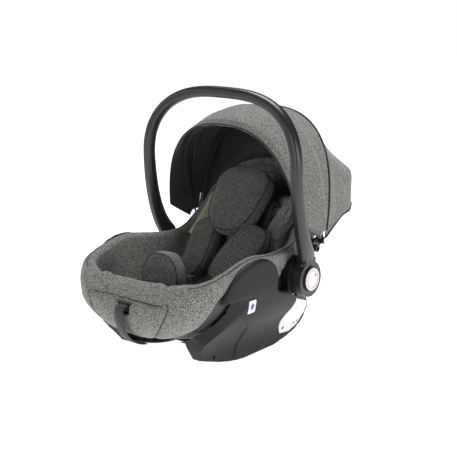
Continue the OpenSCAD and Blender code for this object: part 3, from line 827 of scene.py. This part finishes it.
for side, s in SIDES:
    route = smooth_path([[s * 23, -197.6, 4], [s * 24, -188, 17], [s * 28, -150, 3], [s * 34, -110, -10],
                         [s * 38, -84, -19], [s * 46, -28, 29], [s * 51, 30, 79], [s * 52, 50, 110],
                         [s * 52, 58, 134], [s * 52, 72, 139.5], [s * 52, 100, 114.4]], 6)
    strap = ribbon("shoulder_webbing_" + side, route, 25, 1.6)
    finish_piece(strap, "seat", "webbing", ["shoulder_strap_" + side])
tail = smooth_path([[0, -343, -9.5], [0, -372, -9.5], [0, -381, -14], [0, -384, -25], [0, -382, -45],
                    [0, -374, -66], [0, -360, -84], [4, -342, -98], [8, -318, -104]], 8)
strap = ribbon("adjuster_webbing", tail, 25, 1.8)
finish_piece(strap, "seat", "webbing", ["adjuster_strap"])


# ---------------------------------------------------------------- canopy

PIVOT = np.array([0, 90, 65], float)

# In its own plane, each bow is part of an oval with two powers, centred below the pivot.
BELOW, ACROSS_POWER, UP_POWER = 54, 2.37, 3.45


def bow_x(half, top, r):
    return half * (1 - min(1, (r + BELOW) / (top + BELOW)) ** UP_POWER) ** (1 / ACROSS_POWER)


def bow_reach(half, top, x):
    return (top + BELOW) * (1 - min(1, abs(x) / half) ** ACROSS_POWER) ** (1 / UP_POWER) - BELOW


def bow_line(half, top, foot, n):
    """Half-width and reach from the pivot along a bow, evenly spaced, from one foot to the other."""
    p = [[bow_x(half, top, r), r] for r in np.linspace(foot, top * 0.9, 60)]
    p += [[x, bow_reach(half, top, x)] for x in np.linspace(bow_x(half, top, top * 0.9), 0, 60)[1:]]
    p = np.array(p)
    full = np.vstack([p, (p * [-1, 1])[-2::-1]])
    d = np.concatenate([[0], np.cumsum(np.linalg.norm(np.diff(full, axis=0), axis=1))])
    s = np.linspace(0, d[-1], n + 1)
    return np.stack([np.interp(s, d, full[:, k]) for k in (0, 1)], 1)


def swing(x, r, lean):
    """A point at a reach from the pivot, leaning so many degrees to the head end."""
    q = math.radians(lean)
    return np.array([x, PIVOT[1] + r * math.sin(q), PIVOT[2] + r * math.cos(q)])


def sheet_grid(name, grid, thick, body, cad_node, wrinkle):
    """A sewn panel: cloth outside, black lining inside, from a grid of points, held by a bow."""
    rows, cols = len(grid), len(grid[0])
    faces = [(i * cols + j, i * cols + j + 1, (i + 1) * cols + j + 1, (i + 1) * cols + j)
             for i in range(rows - 1) for j in range(cols - 1)]
    o = mesh_object(name, [p for row in grid for p in row], faces)
    middle = o.data.polygons[len(faces) // 2]
    if np.dot(middle.normal, np.array(middle.center) - place(PIVOT)[0]) < 0:
        o.data.flip_normals()
    rumple(o, *wrinkle)
    dress(o, "melange", "lining")
    m = o.modifiers.new("t", "SOLIDIFY")
    m.thickness, m.offset = thick / 1000, -1
    m.material_offset, m.material_offset_rim = 1, 0
    apply_modifiers(o)
    shade(o, True)
    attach(o, body)
    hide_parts(cad_node)
    return o


HALF, TOP, FOOT = 191.6, 291, 24
SEAM_LEAN, MID_LEAN = -9.0, 11.3
STEPS_AROUND = 120
FRONT_TOP = TOP + 8


def hem_lean(r):
    return max(-math.degrees(math.asin(min(0.98, 89.5 / max(r, 92)))) - 10.3, -63)


def front_point(x, r, t):
    """t runs from 0 at the hem to 1 at the seam with the middle panel."""
    start = hem_lean(r)
    lean = start + (SEAM_LEAN + 7 - start) * t
    up = min(1, max(0, (r - FOOT) / (FRONT_TOP - FOOT)))
    r -= 5.5 * (max(0, lean + 26) / 24) ** 1.5 * up
    sag = -3.5 * math.sin(math.pi * t) * up
    inward = -5.0 * (1 - t) ** 6 * up
    return swing(x * (1 - 0.004 * (1 - t)), r + sag + inward, lean)


front_line = bow_line(HALF, FRONT_TOP, FOOT, STEPS_AROUND)
grid = [[front_point(x, r, t) for x, r in front_line] for t in np.linspace(0, 1, 26)]
front = sheet_grid("canopy_front_cloth", grid, 1.8, "canopy_front", "canopy_front_panel",
                   (0.7, 60, 21))
hem = [front_point(x, r, 0.012) for x, r in front_line]
finish_piece(tube("canopy_hem_binding", hem, 2.2, 8), "canopy_front", "piping")
rows = [[front_point(x, r + 4, t) for x, r in front_line] for t in (0.10, 0.135)]
hem_stitches = stitches("canopy_hem_stitching", rows, tree(front), 4.2, 2.8, 0.4, 0.15)
finish_piece(hem_stitches, "canopy_front", "thread")


def middle_point(x, r, t):
    """t runs from 0 under the front panel to 1 at the middle bow."""
    start, end = SEAM_LEAN - 1, MID_LEAN - 0.3
    return swing(x, r * (1 - 0.006 * math.sin(math.pi * t)), start + (end - start) * t)


mid_line = bow_line(HALF - 2.8, TOP - 2.8, FOOT, STEPS_AROUND)
grid = [[middle_point(x, r, t) for x, r in mid_line] for t in np.linspace(0, 1, 14)]
sheet_grid("canopy_middle_cloth", grid, 1.8, "canopy_mid", "canopy_mid_panel", (0.6, 55, 22))
pipe_line = [swing(x, r, MID_LEAN + 0.2) for x, r in bow_line(HALF - 2.2, TOP - 2.2, FOOT, STEPS_AROUND)]
finish_piece(tube("canopy_seam_piping", pipe_line, 2.7), "canopy_mid", "piping")

HEAD_EDGE = np.array([[174, 112, 72], [173, 150, 118], [171, 190, 162], [165, 233, 191], [142, 259, 203],
                      [74, 268, 207], [0, 270, 208]], float)
HALF_STEPS = 200
REAR_LINE = bow_line(HALF - 5.5, TOP - 5.5, FOOT, 2 * HALF_STEPS)


def rear_point(t, s):
    """t runs from 0 at the foot to 1 at the top; s is 0 at the bow, 1 at the head edge and 2 at the hem."""
    start = swing(*REAR_LINE[int(round(t * HALF_STEPS))], MID_LEAN + 0.8)
    rear_edge = spline_at(HEAD_EDGE, t * (len(HEAD_EDGE) - 1))
    if s <= 1:
        sag = np.array([0, -9, -11]) * math.sin(math.pi * s) * t
        fold = 1.6 * math.sin(t * 26 + s * 3) * math.sin(math.pi * s) * (0.4 + 0.6 * (1 - t))
        return start * (1 - s) + rear_edge * s + sag + fold * np.array([0.3, 0.6, 0.3])
    skirt = np.array([-rear_edge[0] * 0.03 if t > 0.6 else 0, -6 * t, -(6 + 70 * min(1, t * 2.2))])
    return rear_edge + skirt * (s - 1)


levels = list(np.linspace(0, 1, 15)) + [1.12, 1.26, 1.4, 1.55, 1.7, 1.85, 2.0]
columns = [(t, 1) for t in np.linspace(0, 1, 41)] + [(t, -1) for t in np.linspace(1, 0, 41)[1:]]
grid = np.array([[rear_point(t, s) * [side, 1, 1] for t, side in columns] for s in levels])
for _ in range(5):
    around = (grid[:-2, 1:-1] + grid[2:, 1:-1] + grid[1:-1, :-2] + grid[1:-1, 2:]) / 4
    grid[1:-1, 1:-1] += 0.5 * (around - grid[1:-1, 1:-1])
sheet_grid("canopy_rear_cloth", grid, 1.6, "seat", "canopy_rear_panel", (0.8, 60, 23))
finish_piece(tube("canopy_rear_binding", grid[-1], 2.4, 8), "seat", "piping")

# Black sleeves that hold the bows inside the canopy, each from its bow's inside out to the cloth.
SLEEVE_FOOT, SLEEVE_TOP = 62, 283
SLEEVES = (("front", 184.3, -24, "canopy_front", HALF - 3, TOP + 1),
           ("mid", 179, MID_LEAN, "canopy_mid", HALF - 4.5, TOP - 5))
for bow, half, lean, body, cloth_half, cloth_top in SLEEVES:
    inner = bow_line(half, SLEEVE_TOP, SLEEVE_FOOT, STEPS_AROUND)
    outer = bow_line(cloth_half, cloth_top, SLEEVE_FOOT, STEPS_AROUND)
    along = swing(0, 1, lean + 90) - PIVOT
    rings = []
    for (x0, r0), (x1, r1) in zip(inner, outer):
        a, b = swing(x0, r0, lean), swing(x1, r1, lean)
        back = a - (b - a) / max(np.linalg.norm(b - a), 1e-6) * 3.6
        half_ring = ((back, 2.2), (a, 3.8), (b, 5.5))
        rings.append([p - along * w for p, w in half_ring] + [p + along * w for p, w in half_ring[::-1]])
    sleeve = loft(bow + "_bow_sleeve", rings)
    shade(sleeve, False)
    finish_piece(sleeve, body, "lining")


# ---------------------------------------------------------------- handle

def arch_y(z):
    return -0.43 * z + 0.00085 * z * z


HUB_TOP, LEG_TOP, ARCH_RISE, ARCH_HALF = 46.0, 240.0, 156.0, 209.0


def arch_point(q):
    """The handle's centre line, for q from -1 at the right hub, over the top at 0, to 1 at the left hub."""
    s, leg = abs(q), 0.45
    if s > leg:
        z = LEG_TOP + (HUB_TOP + 0.1 - LEG_TOP) * (s - leg) / (1 - leg)
        x = ARCH_HALF - 9 * math.exp(-(z - HUB_TOP) / 26)
    else:
        a = math.radians(90 * s / leg)
        z = LEG_TOP + ARCH_RISE * max(math.cos(a), 0) ** 0.88
        x = ARCH_HALF * math.sin(a) ** 0.71
    return np.array([math.copysign(x, q), arch_y(z) - arch_y(HUB_TOP) * math.exp(-(z - HUB_TOP) / 50), z])


def make_handle():
    """An oval bar with a sharp line along its front and back; it widens into the hubs."""
    dense = [arch_point(q) for q in np.linspace(-1, 1, 1201)]
    dense = [dense[0] - [0, 0, 17]] + dense + [dense[-1] - [0, 0, 17]]
    path = resample(dense, 6)
    t = tangents(path)
    t[0], t[-1] = [0, 0, 1], [0, 0, -1]
    rings = []
    for p, ahead in zip(path, t):
        front = np.array([0, 1.0, 0]) - ahead * ahead[1]
        front /= np.linalg.norm(front)
        out = np.cross(front, ahead)
        up = min(max((p[2] - HUB_TOP) / (LEG_TOP - HUB_TOP), 0), 1)
        depth = 18.5 - 5 * up + 9 * math.exp(-max(p[2] - 32, 0) / 26)
        ring = []
        for c, s in unit_circle(32):
            d = depth * signed_pow(c, 0.8)
            if abs(s) < 0.1:
                d -= math.copysign(0.9, c)
            ring.append(p + front * d - out * 12.4 * signed_pow(s, 0.8))
        rings.append(ring)
    return loft("carry_handle", rings)


finish_piece(make_handle(), "handle", "handle", ["handle_bow"])


# ---------------------------------------------------------------- base

FLOOR = -178


def arc(cy, cz, ry, rz, start, stop, n):
    return [(cy + ry * math.cos(math.radians(q)), cz + rz * math.sin(math.radians(q)))
            for q in np.linspace(start, stop, n)]


def smooth_outline(half):
    return [tuple(p[:2]) for p in smooth_path([(v, x, 0) for v, x in half], 4)]


# The side view holds (y, z). The plans hold (y, half width), and the section (z, half width).
SIDE_VIEW = ([(-281, -107), (-261, -138), (-220, -152)]
             + [(-185 + 78 * t, -163 - 15 * t - 2 * math.sin(math.pi * t)) for t in np.linspace(0, 1, 6)]
             + [(15, FLOOR), (60, -170), (95, -157), (113, -142), (116, -130), (100, -104), (78, -76)]
             + [(62, -48)] + arc(0, 0, 46, 46, -20, 180, 11) + [(-48, -22), (-100, -4), (-94, 14)]
             + arc(-163, 18, 69, 57, 0, 90, 9) + [(-190, 74), (-216, 68), (-240, 56), (-262, 38)]
             + [(-285, 6), (-302, -30), (-303, -62), (-292, -82)])
PLAN = smooth_outline([(-318, 100), (-300, 124), (-290, 142), (-276, 162), (-262, 175), (-240, 185),
                       (-215, 191), (-185, 195), (-160, 197), (-110, 197), (-60, 190), (0, 178),
                       (60, 158), (118, 130)])
EAR_PLAN = smooth_outline([(-310, 150), (-296, 178), (-283, 190), (-262, 196), (-230, 198), (-195, 199),
                           (-150, 199), (-90, 196), (-60, 190), (0, 178)])
SECTION = smooth_outline([(80, 199), (20, 199), (0, 197), (-40, 187), (-70, 168), (-100, 140), (-130, 118),
                          (-153, 110), (FLOOR, 106)])
WALL = 4.0
RAY_START = 260
BOSS_INSIDE, BOSS_FACE, BOSS_RADIUS = 146, 161.7, 44


def round_bar(name, x0, x1, r, y=0.0, z=0.0):
    """A cylinder along X, with its ends in either order."""
    return prism(name, [(y + r * c, z + r * s) for c, s in unit_circle(72)], *sorted((x0, x1)))


def soften_ear(o):
    """Rounds the edges of the ear, above the lower half of the moulding and ahead of the notch."""
    group = o.vertex_groups.new(name="soft")
    for i, (_, y, z) in enumerate(coords(o)):
        weight = min(1, max(0, (z + 30) / 24)) * (y < -70)
        if weight > 0:
            group.add([i], weight, "REPLACE")
    m = o.modifiers.new("s", "SMOOTH")
    m.factor, m.iterations, m.vertex_group = 0.5, 16, "soft"
    apply_modifiers(o)
    o.vertex_groups.clear()


def crease_sides(o):
    """Sinks one side of a curved line from the front to the floor, and cuts a groove along it."""
    line = [(-290, -12), (-261, -20), (-222, -36), (-189, -58), (-160, -80), (-147, -95), (-141, -123),
            (-140, -170)]
    crease = resample(smooth_path([(0, y, z) for y, z in line], 6), 3)
    co, no = coords(o), normals(o)
    k = np.where((np.abs(no[:, 0]) > 0.5) & (co[:, 1] < -60))[0]
    offsets = co[k][:, None, 1:] - crease[None, :, 1:]
    nearest = (offsets ** 2).sum(2).argmin(1)
    run = tangents(crease)[nearest][:, 1:]
    off = offsets[np.arange(len(k)), nearest]
    across = run[:, 0] * off[:, 1] - run[:, 1] * off[:, 0]
    step = 1 / (1 + np.exp(np.clip(across / 3.2, -30, 30)))
    co[k] -= no[k] * (2.6 * step)[:, None]
    co[:, 2] = np.maximum(co[:, 2], FLOOR)
    set_coords(o, co)
    skin = tree(o)
    for s in (1, -1):
        hits = [side_hit(skin, s, y, z) for _, y, z in crease[4:-4]]
        groove(o, local([h[0] for h in hits if h[0] is not None]), 2.6, 3.4)


def side_hit(skin, s, y, z):
    """Where a ray from the left, for s = 1, or the right meets the moulding, and the normal there."""
    return skin.ray_cast(Vector(place([s * RAY_START, y, z])[0]), Vector((-s, 0, 0)))[:2]


def make_base():
    """The moulding: a block with broad rounded edges, then hollowed, with its bosses and slots."""
    o = prism("rocker_base_moulding", SIDE_VIEW, -220, 220)
    plan_shape = prism("plan", both_sides(PLAN), -200, 120, axis=2)
    boolean(plan_shape, prism("ears", both_sides(EAR_PLAN), 2, 122, axis=2), "UNION")
    boolean(o, plan_shape, "INTERSECT")
    boolean(o, prism("section", both_sides(SECTION), -400, 200, axis=1), "INTERSECT")
    remesh(o, 3.0, smooth=2)
    soften_ear(o)
    crease_sides(o)
    for s in (1, -1):
        boolean(o, round_bar("boss", s * BOSS_INSIDE, s * BOSS_FACE, BOSS_RADIUS), "UNION")
    lower = [(y + (-WALL if y > 0 else WALL), z + WALL) for y, z in SIDE_VIEW if z < -103]
    hollow = prism("hollow", lower + [(74, -60), (74, -24), (-278, -24), (-278, -80)], -220, 220)
    inset = 2.6 * WALL
    plan = both_sides(PLAN, inset)
    plan = plan[:len(PLAN)] + [(120, 130), (-120, 130)] + plan[len(PLAN):]
    boolean(hollow, prism("plan", plan, -200, 200, axis=2), "INTERSECT")
    section = [(190, 120)] + both_sides(SECTION, inset) + [(-190, 120)]
    boolean(hollow, prism("section", section, -400, 200, axis=1), "INTERSECT")
    boolean(o, hollow, "DIFFERENCE")
    for s in (1, -1):
        boolean(o, round_bar("hub_room", s * BOSS_FACE, s * 225, BOSS_RADIUS - 1), "DIFFERENCE")
        boolean(o, round_bar("spindle_hole", s * 140, s * 225, 6.3), "DIFFERENCE")
        slot = prism("side_slot", arc(-210, -145, 3.4, 5.5, 0, 345, 24), *sorted((s * 90, s * 200)))
        boolean(o, slot, "DIFFERENCE")
    boolean(o, prism_box("between_skids", (-94, -400, -200), (94, -100, -96)), "DIFFERENCE")
    boolean(o, bucket("seat_room", 6.6, 90), "DIFFERENCE")
    shade(o, True)
    o.modifiers.new("e", "EDGE_SPLIT").split_angle = math.radians(34)
    return apply_modifiers(o)


base = make_base()
finish_piece(base, "seat", "base", ["rocker_base"])
base_tree = tree(base)


def stuck_label(name, outline, look, lift=0.35, cad_nodes=(), step=4.0):
    """A thin sticker that follows the left side of the moulding; outline is (y, z)."""
    out = np.array(outline, float)
    lo, hi = out.min(0), out.max(0)
    b = bmesh.new()
    b.faces.new([b.verts.new((0, y, z)) for y, z in out])
    for axis in (0, 1):
        for v in np.arange(lo[axis] + step, hi[axis], step):
            normal = np.eye(3)[axis + 1]
            geom = b.verts[:] + b.edges[:] + b.faces[:]
            bmesh.ops.bisect_plane(b, geom=geom, plane_co=normal * v, plane_no=normal)
    points = []
    for v in b.verts:
        spot, normal = side_hit(base_tree, 1, v.co[1], v.co[2])
        points.append(local(np.array(spot) + np.array(normal) * lift / 1000)[0])
    b.verts.index_update()
    o = mesh_object(name, points, [[v.index for v in f.verts] for f in b.faces])
    b.free()
    if sum(f.normal[0] * f.area for f in o.data.polygons) < 0:
        o.data.flip_normals()
    m = o.modifiers.new("t", "SOLIDIFY")
    m.thickness, m.offset = 0.0003, 1
    apply_modifiers(o)
    shade(o, False)
    finish_piece(o, "seat", look, cad_nodes)


def rounded(outline, r, n=4):
    """An outline with its corners rounded."""
    out = []
    p = np.array(outline, float)
    for i in range(len(p)):
        a, b, c = p[i - 1], p[i], p[(i + 1) % len(p)]
        u, v = (a - b) / np.linalg.norm(a - b), (c - b) / np.linalg.norm(c - b)
        out += [b + u * r * (1 - t) ** 2 + v * r * t ** 2 for t in np.linspace(0, 1, n)]
    return out


side_outline = [(-198, -7), (-176, -7), (-173, -36), (-198, -36)]
rear_outline = [(-10, -47), (5, -116), (26, -153), (64, -157), (90, -147), (98, -136), (98, -116), (66, -76)]
stuck_label("side_sticker", rounded(side_outline, 3), "label", cad_nodes=["side_label"])
stuck_label("rear_sticker", rounded(rear_outline, 4), "label", cad_nodes=["rear_label"])

# Plain marks stand where the discs and labels have printed ones.
for side, s in SIDES:
    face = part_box("button_disc_" + side)[1 if s > 0 else 0][0] * 1000
    ring = [[face + s * 0.1, 19.5 * y, 19.5 * z] for y, z in unit_circle(60)]
    marks = [tube("ring", ring, 0.45, 8, closed=True),
             round_bar("dot", face - s * 0.2, face + s * 0.35, 2.6, 11, 8)]
    finish_piece(join(marks, "disc_marks_" + side), "release_" + side, "red")
circle = unit_circle(20)
stuck_label("side_sticker_mark", [(-186 + 6 * y, -21 + 7 * z) for y, z in circle], "blue", lift=0.7)
for i, (y0, z0, r, look) in enumerate(((34, -141, 4.5, "blue"), (76, -139, 3, "red"), (88, -137, 3, "blue"))):
    stuck_label("rear_sticker_mark_%d" % i, [(y0 + r * y, z0 + r * z) for y, z in circle], look, lift=0.7)

# ---------------------------------------------------------------- tag

tag_line = [[-131 - 4 * f + 1.5 * math.sin(f * 6), 6 + 104 * f, 44 + 86 * f] for f in np.linspace(0, 1, 13)]
tag = ribbon("care_tag", smooth_path(tag_line, 3), 30, 0.8, side=(-0.154, -0.633, 0.747))
finish_piece(tag, "seat", "tag", ["seat_tag"])

# ---------------------------------------------------------------- stage, light, camera

FLOOR_HALF = 60
floor = link("floor", bpy.data.meshes.new("floor"))
floor.data.from_pydata([(x * FLOOR_HALF, y * FLOOR_HALF, 0) for x, y in ((-1, -1), (1, -1), (1, 1), (-1, 1))],
                       [], [(0, 1, 2, 3)])
floor_material, _, floor_shader = material("pale_floor", (0.86, 0.86, 0.86), rough=0.9)
floor_shader.inputs["Emission Color"].default_value = (1, 1, 1, 1)
floor_shader.inputs["Emission Strength"].default_value = 0.92
floor.data.materials.append(floor_material)

world = bpy.data.worlds.new("studio")
bpy.context.scene.world = world
world.use_nodes = True
background = world.node_tree.nodes["Background"]
background.inputs["Color"].default_value = (1, 1, 1, 1)
background.inputs["Strength"].default_value = 0.09
bpy.context.scene.view_settings.view_transform = "Standard"


def aim(o, start, target):
    o.location = start
    o.rotation_euler = (Vector(target) - Vector(start)).to_track_quat("-Z", "Y").to_euler()


def area_light(name, start, target, size, power):
    d = bpy.data.lights.new(name, "AREA")
    d.shape, d.size, d.energy = "SQUARE", size, power
    aim(link(name, d), start, target)


area_light("overhead", (-0.4, 0.8, 2.9), (0, 0, 0.25), 1.5, 88)
area_light("side", (3.0, 0.1, 1.0), (0, 0, 0.25), 1.3, 46)
area_light("front", (0.5, -2.7, 1.0), (0, 0.05, 0.25), 1.0, 24)
area_light("left", (-2.2, -1.4, 1.4), (0.1, 0.1, 0.25), 0.9, 12)

lens = bpy.data.cameras.new("camera")
lens.sensor_width = 36
lens.lens = 89.08
camera = link("camera", lens)
aim(camera, place([1544.80, -1977.78, 684.50])[0], place([-22.102, 6.266, 77.539])[0])
bpy.context.scene.camera = camera
